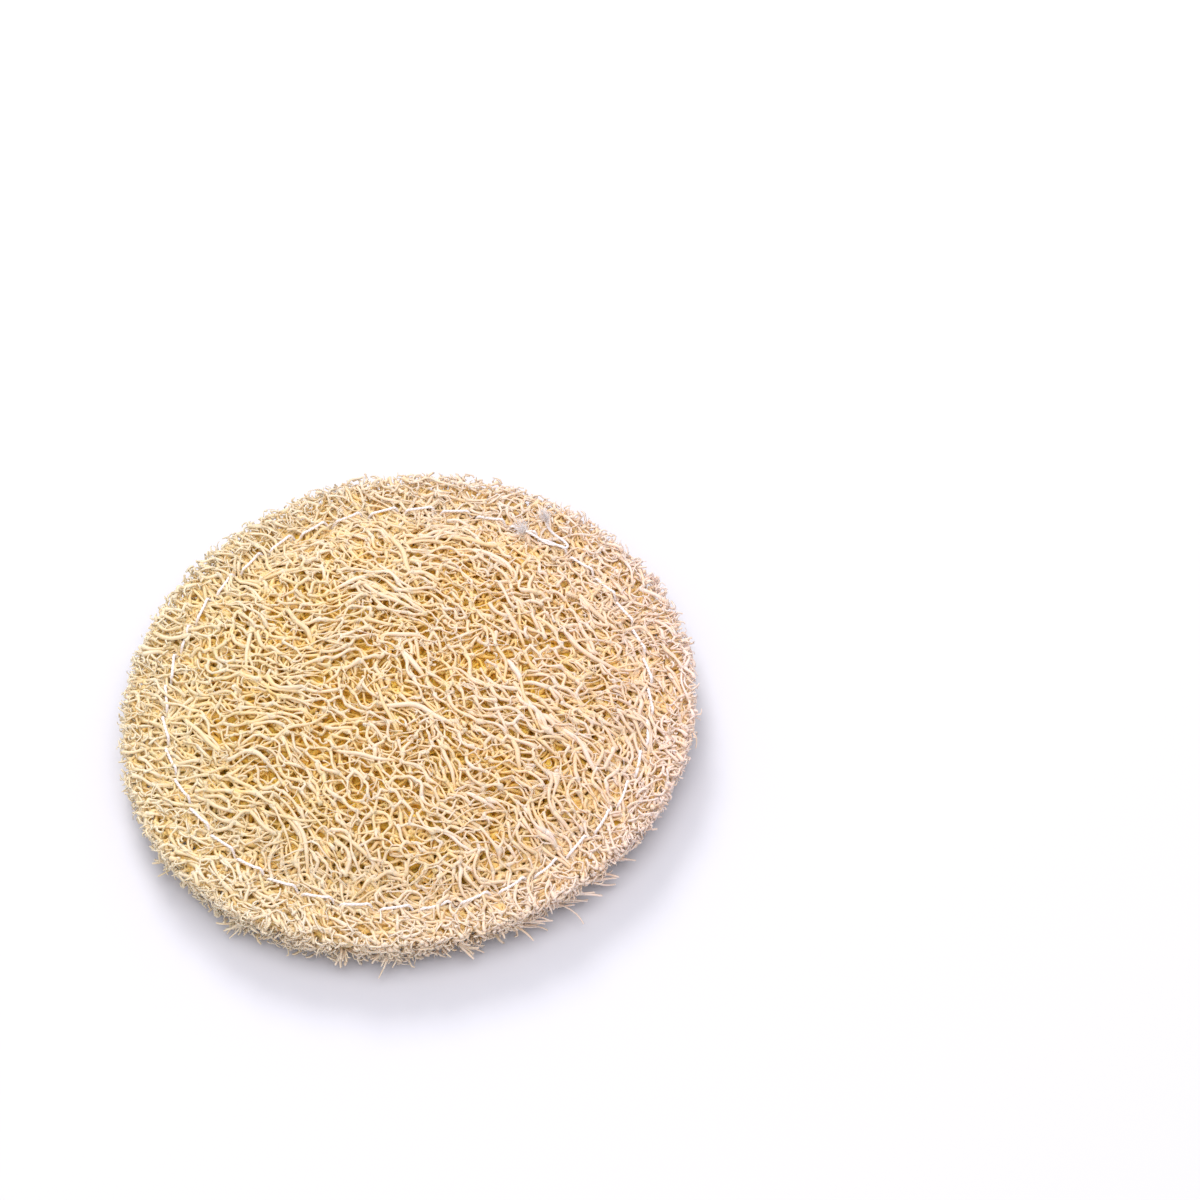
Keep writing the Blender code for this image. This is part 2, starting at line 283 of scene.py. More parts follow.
def net_fibres(layer, side, heights):
    """The fibres of one layer, as rows of points with a half-thickness and a tone at each point."""
    rng = layer.rng
    corners, pairs = cell_net(layer.seeds())
    pairs = pairs[rng.random(len(pairs)) > layer.missing]
    places, grain = layer.lay(corners), layer.grain_at(corners)
    dip = layer.wave * rng.uniform(*CORNER_DIP, len(places))
    corner_thick = layer.thick * np.exp(rng.normal(0, CORNER_THICK_SPREAD, len(places)))
    corner_tone = np.clip(rng.normal(CORNER_TONE, CORNER_TONE_SPREAD, len(places)), 0, 1)
    ends = [places[pairs[:, 0]], places[pairs[:, 1]]]
    kept = cut_at_rim(ends, side, layer.inset, rng)
    lengths = np.linalg.norm(ends[1] - ends[0], axis=1)
    kept &= (lengths > SHORTEST_FIBRE) & (lengths < LONGEST_FIBRE_CELLS * layer.along)
    first, second = pairs[kept].T
    start, end = ends[0][kept], ends[1][kept]
    toward = (end - start) / lengths[kept][:, None]

    # A fibre that runs nearly along the grain leaves its corners along it, and one across it runs straight
    directions = []
    for corner in (first, second):
        along = (grain[corner] * toward).sum(1)
        follow = np.clip(np.abs(along) * GRAIN_HOLD, 0, 1)[:, None]
        blended = follow * grain[corner] * np.sign(along)[:, None] + (1 - follow) * toward
        directions.append(np.pad(blended, ((0, 0), (0, 1))))
    start = np.column_stack([start, heights(*start.T) + dip[first]])
    end = np.column_stack([end, heights(*end.T) + dip[second]])
    paths = curve_between(start, end, *directions, layer.points)

    t = np.linspace(0, 1, layer.points)[None, :]
    bulge = np.sin(math.pi * t)
    sideways = np.stack([-toward[:, 1], toward[:, 0]], axis=1)[:, None]
    bend = lengths[kept][:, None] * rng.normal(0, FIBRE_BEND, (len(first), 1))
    paths[:, :, :2] += sideways * (bulge * bend)[:, :, None]
    paths[:, :, 2] += bulge * layer.wave * rng.uniform(*FIBRE_WAVE, (len(first), 1))

    middle = np.minimum(corner_thick[first], corner_thick[second]) * rng.uniform(*WAIST, len(first))
    at_end = (2 * t - 1) ** 2
    from_ends = corner_thick[first][:, None] * (1 - t) + corner_thick[second][:, None] * t
    thickness = CORNER_FLARE * from_ends * at_end + middle[:, None] * (1 - at_end)
    tone = corner_tone[first][:, None] * (1 - t) + corner_tone[second][:, None] * t
    return paths, thickness, tone


FIBRE_FLATNESS = 0.85
TIP_LENGTH = 0.6
# Keeps the width of a fibre that stands upright from vanishing
SIDE_NUDGE = 1e-4 * np.array([1.0, 0.3, 0.0])


def add_attribute(mesh, label, values):
    """Gives the mesh a value at each of its points, for its material to read."""
    attribute = mesh.attributes.new(label, "FLOAT", "POINT")
    attribute.data.foreach_set("value", values.astype(np.float32).ravel())


def fibre_mesh(name, paths, thickness, tone, painted_glow, sides, flat=FIBRE_FLATNESS, level=(0.0, 0.0, 1.0)):
    """One mesh of closed tubes along the rows of points. flat is their height as a share of their width,
    which lies square to the direction level."""
    count, length, _ = paths.shape
    ahead = np.gradient(paths, axis=1)
    ahead /= np.linalg.norm(ahead, axis=2, keepdims=True) + 1e-12
    side = np.cross(ahead, level) + SIDE_NUDGE
    side /= np.linalg.norm(side, axis=2, keepdims=True)
    up = np.cross(side, ahead)
    angles = np.arange(sides) * math.tau / sides
    ring = (
        side[:, :, None] * np.cos(angles)[None, None, :, None]
        + up[:, :, None] * np.sin(angles)[None, None, :, None] * flat
    )
    tubes = paths[:, :, None] + ring * thickness[:, :, None, None]
    tips = np.stack([
        paths[:, 0] - ahead[:, 0] * thickness[:, :1] * TIP_LENGTH,
        paths[:, -1] + ahead[:, -1] * thickness[:, -1:] * TIP_LENGTH,
    ], axis=1)
    verts = np.concatenate([tubes.reshape(count, -1, 3), tips], axis=1)

    # Four-sided faces along each tube, and a fan of three-sided ones round the tip at each end
    per_fibre = length * sides + 2
    row = np.arange(length - 1)[:, None] * sides
    around = np.arange(sides)[None, :]
    after = (around + 1) % sides
    quads = np.stack([row + around, row + after, row + sides + after, row + sides + around], axis=2)
    last = (length - 1) * sides
    caps_start = np.stack([after[0], around[0], np.full(sides, length * sides)], axis=1)
    caps_end = np.stack([last + around[0], last + after[0], np.full(sides, length * sides + 1)], axis=1)
    offsets = np.arange(count) * per_fibre
    quads = (quads.reshape(1, -1, 4) + offsets[:, None, None]).reshape(-1, 4)
    caps = (np.concatenate([caps_start, caps_end])[None] + offsets[:, None, None]).reshape(-1, 3)
    loops = np.concatenate([quads.ravel(), caps.ravel()])
    starts = np.concatenate([np.arange(len(quads)) * 4, len(quads) * 4 + np.arange(len(caps)) * 3])

    mesh = bpy.data.meshes.new(name)
    mesh.vertices.add(count * per_fibre)
    mesh.vertices.foreach_set("co", verts.astype(np.float32).ravel())
    mesh.loops.add(len(loops))
    mesh.loops.foreach_set("vertex_index", loops.astype(np.int32))
    mesh.polygons.add(len(starts))
    mesh.polygons.foreach_set("loop_start", starts.astype(np.int32))
    mesh.update(calc_edges=True)
    mesh.polygons.foreach_set("use_smooth", np.ones(len(starts), dtype=bool))
    # Besides its own tone, each point carries its share of the painted golden glow
    for label, values in (("tone", tone), ("painted_glow", painted_glow)):
        spread = np.repeat(values[:, :, None], sides, axis=2).reshape(count, -1)
        add_attribute(mesh, label, np.concatenate([spread, values[:, :1], values[:, -1:]], axis=1))
    piece = bpy.data.objects.new(name, mesh)
    bpy.context.scene.collection.objects.link(piece)
    return piece


def place_piece(piece, node, material):
    piece.data.materials.append(material)
    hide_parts(node)
    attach(piece, "root")


def place_in_sheet(piece, side, material):
    place_piece(piece, "upper_sheet" if side > 0 else "lower_sheet", material)


PALER_AT_RIM = 0.35


def place_fibres(name, side, fibres, material, sides):
    """Makes the fibres one piece of the upper or the lower sheet. Those frayed by the cut are paler."""
    paths, thickness, tone = fibres
    beyond_seam = (np.hypot(paths[:, :, 0], paths[:, :, 1]) - SEAM_RADIUS) / (PAD_RADIUS - SEAM_RADIUS)
    tone = np.clip(tone + PALER_AT_RIM * smooth(beyond_seam), 0, 1)
    piece = fibre_mesh(name, paths, thickness, tone, depth_inside(paths, side), sides)
    place_in_sheet(piece, side, material)


UPPER_LAYERS = (
    Layer("upper_net_face", (4.3, 1.7), grain=-38, bend=-14, depth=0.0, at_edge=0.0, thick=0.3, wave=0.55,
          missing=0.14, points=5, sides=5, seed=3),
    Layer("upper_net_fine", (3.1, 1.45), grain=-5, bend=8, depth=0.25, at_edge=0.1, thick=0.17, wave=0.5,
          missing=0.35, points=4, sides=4, seed=4),
    Layer("upper_net_second", (3.5, 2.0), grain=-70, bend=12, depth=0.5, at_edge=0.25, thick=0.29,
          wave=0.55, missing=0.08, points=4, sides=4, seed=5),
    Layer("upper_net_third", (3.5, 2.1), grain=-15, bend=12, depth=1.0, at_edge=0.45, thick=0.3, wave=0.5,
          missing=0.05, points=4, sides=4, seed=8),
    Layer("upper_net_fourth", (3.6, 2.1), grain=42, bend=12, depth=1.5, at_edge=0.68, thick=0.34, wave=0.5,
          missing=0.0, points=4, sides=4, seed=13),
    Layer("upper_net_inner", (3.2, 2.2), grain=-72, bend=12, depth=2.1, at_edge=0.9, thick=0.75, wave=0.4,
          missing=0.0, points=3, sides=4, seed=21),
    Layer("upper_net_core", (3.4, 2.4), grain=15, bend=12, depth=2.7, at_edge=0.95, thick=0.95, wave=0.3,
          missing=0.0, points=3, sides=4, seed=22),
)
LOWER_LAYERS = (
    Layer("lower_net_face", (4.0, 1.9), grain=35, bend=-14, depth=0.0, at_edge=0.0, thick=0.28, wave=0.4,
          missing=0.1, points=4, sides=4, seed=34),
    Layer("lower_net_second", (3.9, 2.1), grain=-50, bend=14, depth=0.6, at_edge=0.45, thick=0.28, wave=0.4,
          missing=0.05, points=4, sides=4, seed=55),
    Layer("lower_net_inner", (3.6, 2.4), grain=80, bend=12, depth=1.3, at_edge=0.9, thick=0.7, wave=0.4,
          missing=0.0, points=3, sides=4, seed=89),
)
SWELL = 0.35 * MM
SWELL_LENGTH = 9 * MM
SWELL_HIGHEST = 0.1 * MM
# The band at the cut edge where the levels move apart, in shares of the pad's radius
EDGE_BAND_FROM = 0.8
EDGE_BAND_WIDTH = 0.2
# The seam squeezes the thick strands inside along with the sheet that they are in
THICKEST_SHARE = 0.16
# A fibre's middle lies at least this share of its half-thickness above the floor
LOWEST_SHARE = 0.9


def make_net(layer, side, material):
    face = open_face(side)
    full_room = abs(face(0.0, 0.0) - MEETING_HEIGHT)

    def heights(x, y):
        """The layer's height at each place."""
        room = np.abs(face(x, y) - MEETING_HEIGHT)
        share = layer.depth / (full_room - 2 * layer.thick)
        edge = smooth((np.hypot(x, y) / PAD_RADIUS - EDGE_BAND_FROM) / EDGE_BAND_WIDTH)
        share = share + (layer.at_edge - share) * edge
        return MEETING_HEIGHT + side * (room - layer.thick - share * (room - 2 * layer.thick))

    paths, thickness, tone = net_fibres(layer, side, heights)
    room = np.abs(face(paths[:, :, 0], paths[:, :, 1]) - MEETING_HEIGHT)
    thickness = np.minimum(thickness, THICKEST_SHARE * room)
    flat = paths[:, :, :2].reshape(-1, 2)
    swell = SWELL * wander(flat, SWELL_LENGTH, layer.rng).reshape(paths.shape[:2])
    paths[:, :, 2] += side * np.minimum(swell, SWELL_HIGHEST)
    if side < 0:
        # The waves of the lower nets go up into the pad, and none goes through the floor
        paths[:, :, 2] = 2 * heights(paths[:, :, 0], paths[:, :, 1]) - paths[:, :, 2]
        paths[:, :, 2] = np.maximum(paths[:, :, 2], LOWEST_SHARE * thickness)
    place_fibres(layer.name, side, (paths, thickness, tone), material, layer.sides)


# The matted middle of each sheet, where its finest fibres lie too close to be told apart
FELT_RADIUS = PAD_RADIUS - 3.5 * MM
FELT_DEPTH = 3.2 * MM
FELT_LEAST = 0.3 * MM
FELT_CLEARANCE = 0.1 * MM
FELT_THINNING = 0.25
FELT_SWELL = 0.25 * MM
FELT_TONE = 0.5
FELT_SEGMENTS = 96
FELT_RINGS = 48
FELT_SEED = 89


def make_felt(name, side, material):
    """A ball pressed flat, from the height where the sheets meet to a fixed depth below the open face."""
    bpy.ops.mesh.primitive_uv_sphere_add(segments=FELT_SEGMENTS, ring_count=FELT_RINGS, radius=1)
    piece = bpy.context.object
    piece.name = name
    bpy.ops.object.shade_smooth()
    points = np.array([vertex.co[:] for vertex in piece.data.vertices])
    flat = points[:, :2] * FELT_RADIUS
    swell = FELT_SWELL * wander(flat, SWELL_LENGTH, np.random.default_rng(FELT_SEED))
    room = np.abs(open_face(side)(*flat.T) - MEETING_HEIGHT) - FELT_DEPTH + swell
    rise = np.maximum(room, FELT_LEAST) * smooth(side * points[:, 2] / FELT_THINNING)
    height = MEETING_HEIGHT + side * (FELT_CLEARANCE + rise)
    piece.data.vertices.foreach_set("co", np.column_stack([flat, height]).astype(np.float32).ravel())
    add_attribute(piece.data, "tone", np.full(len(points), FELT_TONE))
    # The felt gets the full painted golden glow, which stands in for the light bounced far inside the net
    add_attribute(piece.data, "painted_glow", np.ones(len(points)))
    place_in_sheet(piece, side, material)


LONG_STRANDS = 42
LONG_STRAND_TRIES = 4 * LONG_STRANDS
LONG_STRAND_POINTS = 14
LONG_STRAND_SEED = 144
STRAND_LENGTH_MM = (5, 14)
STRAND_HALF_THICK_MM = (0.22, 0.42)
# How far a strand turns off the grain, bends to one side, and snakes, in radians
STRAND_TURN = 0.3
STRAND_BEND = 0.7
STRAND_SNAKE = 0.2
STRAND_SUNK = 0.38 * MM
STRAND_BOW = 0.05 * MM
STRAND_DIVE = 1.2 * MM
STRAND_TAPER = 0.4
STRAND_TONE = 0.5
STRAND_TONE_SPREAD = 0.25


def make_long_strands(layer, material):
    """Long strands that lie bowed over the upper face, near its grain, and dive into it at both ends."""
    rng = np.random.default_rng(LONG_STRAND_SEED)
    middle = rng.uniform(-1, 1, (LONG_STRAND_TRIES, 2)) * PAD_RADIUS / (layer.along, layer.across)
    grain = layer.grain_at(middle)
    middle = layer.lay(middle)
    t = np.linspace(-0.5, 0.5, LONG_STRAND_POINTS)[None, :]
    many = (len(middle), 1)
    heading = np.arctan2(grain[:, 1:], grain[:, :1]) + rng.normal(0, STRAND_TURN, many)
    heading = heading + rng.normal(0, STRAND_BEND, many) * t
    heading = heading + rng.normal(0, STRAND_SNAKE, many) * np.sin(2 * math.tau * t)
    step = rng.uniform(*STRAND_LENGTH_MM, many) * MM / (LONG_STRAND_POINTS - 1)
    x = middle[:, :1] + np.cumsum(np.cos(heading) * step, axis=1)
    y = middle[:, 1:] + np.cumsum(np.sin(heading) * step, axis=1)
    inside = np.hypot(x, y).max(axis=1) < GROOVE_INSIDE
    x, y = x[inside][:LONG_STRANDS], y[inside][:LONG_STRANDS]
    rise = STRAND_BOW * np.cos(math.pi * t) - STRAND_DIVE * np.abs(2 * t) ** 4
    paths = np.stack([x, y, upper_face(x, y) - STRAND_SUNK + rise], axis=2)
    belly = 1 - STRAND_TAPER + STRAND_TAPER * np.cos(math.pi * t)
    thickness = rng.uniform(*STRAND_HALF_THICK_MM, (len(x), 1)) * MM * belly
    tone = np.clip(rng.normal(STRAND_TONE, STRAND_TONE_SPREAD, (len(x), 1)), 0, 1) * np.ones_like(belly)
    place_fibres("upper_long_strands", 1, (paths, thickness, tone), material, sides=6)


# How loose fibres curl from root to tip, in radians, and how they thin out and pale towards it
CURL = 1.3
CURL_AT_TIP = 1.0
CURL_UP = 0.8
LOOSE_TAPER = 0.4
LOOSE_TONE = 0.55
LOOSE_TONE_SPREAD = 0.25
PALER_TIP = 0.3


def loose_fibres(place, heading, tilt, length, thick, turning, count, rng):
    """Short bent fibres that start at the given places and leave in the given directions. turning scales
    how much they curl, and count is the number of points of each."""
    t = np.linspace(0, 1, count)[None, :]
    many = (len(place), 1)
    curl = rng.normal(0, CURL, many) * t + rng.normal(0, CURL_AT_TIP, many) * t * t
    turn = heading[:, None] + turning * curl
    rise = tilt[:, None] + turning * rng.normal(0, CURL_UP, many) * t
    step = rng.uniform(*length, many) / (count - 1)
    steps = np.stack([np.cos(turn) * np.cos(rise), np.sin(turn) * np.cos(rise), np.sin(rise)], axis=2)
    paths = np.cumsum(steps * step[:, :, None], axis=1) + place[:, None]
    thickness = rng.uniform(*thick, many) * (1 - LOOSE_TAPER * t)
    tone = np.clip(rng.normal(LOOSE_TONE, LOOSE_TONE_SPREAD, many) + PALER_TIP * t, 0, 1)
    return paths, thickness, tone


# The short ends that the cut left. Most stand at the edge, and the rest lie between it and the seam
CUT_ENDS = 2400
CUT_ENDS_AT_EDGE = 0.75
CUT_END_ROOT_MM = (0.3, 1.7)
CUT_END_LENGTH = (0.8 * MM, 2.3 * MM)
CUT_END_HALF_THICK = (0.1 * MM, 0.27 * MM)
CUT_END_TURNING = 0.7
CUT_END_POINTS = 4
BAND_INSET = 1.2 * MM
# Their place between the sheet's two faces, their heading and their tilt, at the edge and in the band
EDGE_LEVEL = (0.05, 0.95)
BAND_LEVEL = (0.8, 0.97)
EDGE_HEADING_SPREAD = 0.75
EDGE_TILT = -0.1
EDGE_TILT_SPREAD = 0.45
BAND_TILT = (-0.2, 0.25)
# How far they stand out of the edge and of the faces
PROUD_OF_EDGE = 0.15 * MM
MORE_OF_A_FEW = 0.9 * MM
PROUD_OF_FACE = 0.15 * MM


def make_cut_ends(name, side, seed, material):
    rng = np.random.default_rng(seed)
    face = open_face(side)
    angle = rng.uniform(0, math.tau, CUT_ENDS)
    at_edge = rng.random(CUT_ENDS) < CUT_ENDS_AT_EDGE
    rim = rim_radius(np.cos(angle), np.sin(angle), side)
    in_band = rng.uniform(GROOVE_OUTSIDE, rim - BAND_INSET)
    radius = np.where(at_edge, rim - rng.uniform(*CUT_END_ROOT_MM, CUT_ENDS) * MM, in_band)
    x, y = radius * np.cos(angle), radius * np.sin(angle)
    share = np.where(at_edge, rng.uniform(*EDGE_LEVEL, CUT_ENDS), rng.uniform(*BAND_LEVEL, CUT_ENDS))
    place = np.column_stack([x, y, MEETING_HEIGHT + share * (face(x, y) - MEETING_HEIGHT)])
    edge_heading = rng.normal(0, EDGE_HEADING_SPREAD, CUT_ENDS)
    heading = angle + np.where(at_edge, edge_heading, rng.uniform(0, math.tau, CUT_ENDS))
    edge_tilt = rng.normal(EDGE_TILT, EDGE_TILT_SPREAD, CUT_ENDS)
    tilt = np.where(at_edge, edge_tilt, side * rng.uniform(*BAND_TILT, CUT_ENDS))
    paths, thickness, tone = loose_fibres(
        place, heading, tilt, CUT_END_LENGTH, CUT_END_HALF_THICK, CUT_END_TURNING, CUT_END_POINTS, rng
    )
    reach = np.hypot(paths[:, :, 0], paths[:, :, 1])
    limit = rim[:, None] + PROUD_OF_EDGE + MORE_OF_A_FEW * rng.random((CUT_ENDS, 1)) ** 4
    paths[:, :, :2] *= np.minimum(1.0, limit / reach)[:, :, None]
    outer = face(paths[:, :, 0], paths[:, :, 1]) + side * PROUD_OF_FACE
    low, high = np.minimum(outer, MEETING_HEIGHT), np.maximum(outer, MEETING_HEIGHT)
    paths[:, :, 2] = np.clip(paths[:, :, 2], low, high)
    place_fibres(name, side, (paths, thickness, tone), material, sides=3)


# Where tufts of longer fibres stand out of the cut edge, in degrees from the X axis, how far each of them
# leans along the edge, and its length in mm
TUFTS = (
    (-142, -20, 1.9), (-122, -30, 2.2), (-101, 5, 1.8), (-91, -35, 2.4), (-78, 50, 2.6), (-66, 60, 4.0),
    (-56, 63, 4.2), (-48, 57, 3.6), (-40, 40, 2.2), (24, 20, 1.9), (71, -40, 1.9), (118, 30, 1.9),
    (163, -15, 1.9), (196, 40, 1.9),
)
TUFT_FIBRES = 8
TUFT_POINTS = 6
TUFT_SEED = 233
TUFT_WIDTH = 0.012
TUFT_ROOT = 0.5 * MM
TUFT_HEIGHT_MM = (2.4, 4.2)
TUFT_HEADING_SPREAD = 0.16
TUFT_TILT = -0.2
TUFT_TILT_SPREAD = 0.15
TUFT_LENGTH_SHARES = (0.6, 1.2)
TUFT_HALF_THICK = (0.13 * MM, 0.27 * MM)
TUFT_TURNING = 0.3
TUFT_LOWEST = 0.3 * MM


def make_tufts(material):
    rng = np.random.default_rng(TUFT_SEED)
    angle, lean, length = np.repeat(TUFTS, TUFT_FIBRES, axis=0).T * [[math.pi / 180], [math.pi / 180], [MM]]
    angle = angle + rng.normal(0, TUFT_WIDTH, len(angle))
    radius = rim_radius(np.cos(angle), np.sin(angle), -1) - TUFT_ROOT
    height = rng.uniform(*TUFT_HEIGHT_MM, len(angle)) * MM
    place = np.column_stack([radius * np.cos(angle), radius * np.sin(angle), height])
    heading = angle + lean + rng.normal(0, TUFT_HEADING_SPREAD, len(angle))
    tilt = rng.normal(TUFT_TILT, TUFT_TILT_SPREAD, len(angle))
    lengths = [share * length[:, None] for share in TUFT_LENGTH_SHARES]
    fibres = loose_fibres(place, heading, tilt, lengths, TUFT_HALF_THICK, TUFT_TURNING, TUFT_POINTS, rng)
    fibres[0][:, :, 2] = np.maximum(fibres[0][:, :, 2], TUFT_LOWEST)
    place_fibres("lower_edge_tufts", -1, fibres, material, sides=4)


FINE_HAIRS = 420
FINE_HAIR_POINTS = 5
FINE_HAIR_SEED = 377
FINE_HAIR_INSET = 2 * MM
FINE_HAIR_SUNK = 0.1 * MM
FINE_HAIR_TILT = (-0.1, 0.3)
FINE_HAIR_LENGTH = (1.5 * MM, 4 * MM)
FINE_HAIR_HALF_THICK = (0.04 * MM, 0.08 * MM)
FINE_HAIR_TURNING = 1.0
FINE_HAIR_HIGHEST = 0.45 * MM


def make_fine_hairs(material):
    """Hair-fine fibres that lie loosely on the upper face, where the net was rubbed."""
    rng = np.random.default_rng(FINE_HAIR_SEED)
    angle = rng.uniform(0, math.tau, FINE_HAIRS)
    radius = (PAD_RADIUS - FINE_HAIR_INSET) * np.sqrt(rng.random(FINE_HAIRS))
    x, y = radius * np.cos(angle), radius * np.sin(angle)
    place = np.column_stack([x, y, upper_face(x, y) - FINE_HAIR_SUNK])
    heading = rng.uniform(0, math.tau, FINE_HAIRS)
    tilt = rng.uniform(*FINE_HAIR_TILT, FINE_HAIRS)
    fibres = loose_fibres(
        place, heading, tilt, FINE_HAIR_LENGTH, FINE_HAIR_HALF_THICK,
        FINE_HAIR_TURNING, FINE_HAIR_POINTS, rng,
    )
    inward = np.minimum(1.0, PAD_RADIUS / np.hypot(fibres[0][:, :, 0], fibres[0][:, :, 1]))
    fibres[0][:, :, :2] *= inward[:, :, None]
    ceiling = upper_face(fibres[0][:, :, 0], fibres[0][:, :, 1]) + FINE_HAIR_HIGHEST
    fibres[0][:, :, 2] = np.minimum(fibres[0][:, :, 2], ceiling)
    place_fibres("upper_fine_hairs", 1, fibres, material, sides=3)


# The seam's two threads, each laid up of three plies

THREAD_LIFT = -0.05 * MM
# How far the deepest stitch sinks between the fibres that it holds down
STITCH_SINK = 0.42 * MM
STITCH_SINK_SEED = 987
# How a stitch goes into its needle hole, in mm along the seam from the hole. It lies on the surface as far as
# the first place, is DIP below it at the second, and at the third is down in the hole, HELD_OFF from the
# height where the sheets meet. SLANT_LYING and SLANT_DOWN are its shares of the slant at the first and third
LIES_AT_MM = 1.9
DIPS_AT_MM = 0.9
DIP = 0.2 * MM
DOWN_AT_MM = 0.25
HELD_OFF = 0.6 * MM
SLANT_LYING = 0.4
SLANT_DOWN = 0.3
PLY_COUNT = 3
PLY_OFFSET = 0.11 * MM
PLY_RADIUS = 0.115 * MM
PLY_TURN = 1.7 * MM
ROUTE_STEPS = 5


def at_hole(index, along, height, out=0.0):
    """A place near a needle hole: so many mm along the seam from it, at a height, and so many mm out."""
    turn = SEAM_START + index * STITCH_PITCH + along * MM / SEAM_RADIUS
    radius = SEAM_RADIUS + out * MM
    return (radius * math.cos(turn), radius * math.sin(turn), height)


def stitched_line(side, first_tail, last_tail):
    """From hole to hole over the pad or under it, down into each hole to the other thread."""
    surface = UPPER_SEAM if side > 0 else LOWER_SEAM
    dipped = surface - side * DIP
    down = MEETING_HEIGHT + side * HELD_OFF
    sunk = STITCH_SINK * np.random.default_rng(STITCH_SINK_SEED).random(STITCH_COUNT + 1)
    sunk[[0, -1]] = 0.0
    line = list(first_tail)
    for index in range(STITCH_COUNT):
        before, after = surface + side * (THREAD_LIFT - sunk[index:index + 2])
        line += [
            at_hole(index, -LIES_AT_MM, before, -SLANT_LYING * STITCH_SLANT_MM),
            at_hole(index, -DIPS_AT_MM, dipped, -STITCH_SLANT_MM),
            at_hole(index, -DOWN_AT_MM, down, -SLANT_DOWN * STITCH_SLANT_MM),
            at_hole(index, DOWN_AT_MM, down, SLANT_DOWN * STITCH_SLANT_MM),
            at_hole(index, DIPS_AT_MM, dipped, STITCH_SLANT_MM),
            at_hole(index, LIES_AT_MM, after, SLANT_LYING * STITCH_SLANT_MM),
        ]
    return np.array(line + list(last_tail))


def rounded(line, steps):
    """A smooth line through the points, with the given number of steps from each point to the next."""
    around = np.concatenate([2 * line[:1] - line[1:2], line, 2 * line[-1:] - line[-2:-1]])
    before, here, there, beyond = around[:-3], around[1:-2], around[2:-1], around[3:]
    t = (np.arange(steps) / steps)[None, :, None]
    before, here, there, beyond = (points[:, None] for points in (before, here, there, beyond))
    curve = 0.5 * (
        2 * here + (there - before) * t + (2 * before - 5 * here + 4 * there - beyond) * t**2
        + (3 * here - before - 3 * there + beyond) * t**3
    )
    return np.concatenate([curve.reshape(-1, 3), line[-1:]])


def radial(places):
    """The level direction away from the pad's middle, which no thread of the seam runs along."""
    out = places * (1.0, 1.0, 0.0)
    return out / np.linalg.norm(out, axis=-1, keepdims=True)


def plies(route):
    """The lines of the thread's plies, which wind round its own line."""
    ahead = np.gradient(route, axis=0)
    ahead /= np.linalg.norm(ahead, axis=1, keepdims=True)
    up = np.cross(radial(route), ahead)
    up /= np.linalg.norm(up, axis=1, keepdims=True)
    out = np.cross(ahead, up)
    travelled = np.concatenate([[0], np.cumsum(np.linalg.norm(np.diff(route, axis=0), axis=1))])
    lines = []
    for ply in range(PLY_COUNT):
        turn = (travelled / PLY_TURN + ply / PLY_COUNT) * math.tau
        lines.append(route + PLY_OFFSET * (out * np.cos(turn)[:, None] + up * np.sin(turn)[:, None]))
    return np.array(lines)


def make_thread(name, node, line, material):
    paths = plies(rounded(line, ROUTE_STEPS))
    radius = np.full(paths.shape[:2], PLY_RADIUS)
    plain = np.full(paths.shape[:2], 0.5)
    piece = fibre_mesh(name, paths, radius, plain, plain, sides=4, flat=1.0, level=radial(paths))
    place_piece(piece, node, material)


OVER_SEAM = UPPER_SEAM + THREAD_LIFT
UNDER_SEAM = LOWER_SEAM - THREAD_LIFT
LAST_HOLE = STITCH_COUNT - 1
# The first tail turns back on itself and its end stands up. The last one passes hole 0 and lies down
FIRST_TAIL = (
    at_hole(0, -0.2, OVER_SEAM + 1.5 * MM, 1.7),
    at_hole(0, -0.7, OVER_SEAM + 0.5 * MM, 1.5),
    at_hole(0, -1.8, OVER_SEAM + 0.1 * MM, 1.3),
    at_hole(0, -3.4, OVER_SEAM, 1.2),
    at_hole(0, -4.3, OVER_SEAM, 0.9),
    at_hole(0, -4.4, OVER_SEAM, 0.4),
    at_hole(0, -3.5, OVER_SEAM, 0.1),
)
LAST_TAIL = (
    at_hole(LAST_HOLE, 3.2, OVER_SEAM, -0.5),
    at_hole(LAST_HOLE, 4.4, OVER_SEAM + 0.1 * MM, -0.6),
    at_hole(LAST_HOLE, 5.8, OVER_SEAM + 0.2 * MM, -0.5),
    at_hole(LAST_HOLE, 7.2, OVER_SEAM + 0.5 * MM, -0.6),
)
FIRST_TAIL_BELOW = (at_hole(0, -3.5, UNDER_SEAM, 0.7),)
LAST_TAIL_BELOW = (at_hole(LAST_HOLE, 3.5, UNDER_SEAM, -0.7),)

# The cotton hairs that each end of the needle thread frays into
FRAYED_HAIRS = 70
FRAYED_POINTS = 6
FRAYED_SEED = 610
FRAYED_SCATTER_MM = 0.2
FRAYED_HEADING_SPREAD = 0.6
FRAYED_TILT = 0.1
FRAYED_TILT_SPREAD = 0.35
FRAYED_LENGTH = (0.9 * MM, 2.2 * MM)
FRAYED_HALF_THICK = (0.03 * MM, 0.05 * MM)
FRAYED_TURNING = 0.6


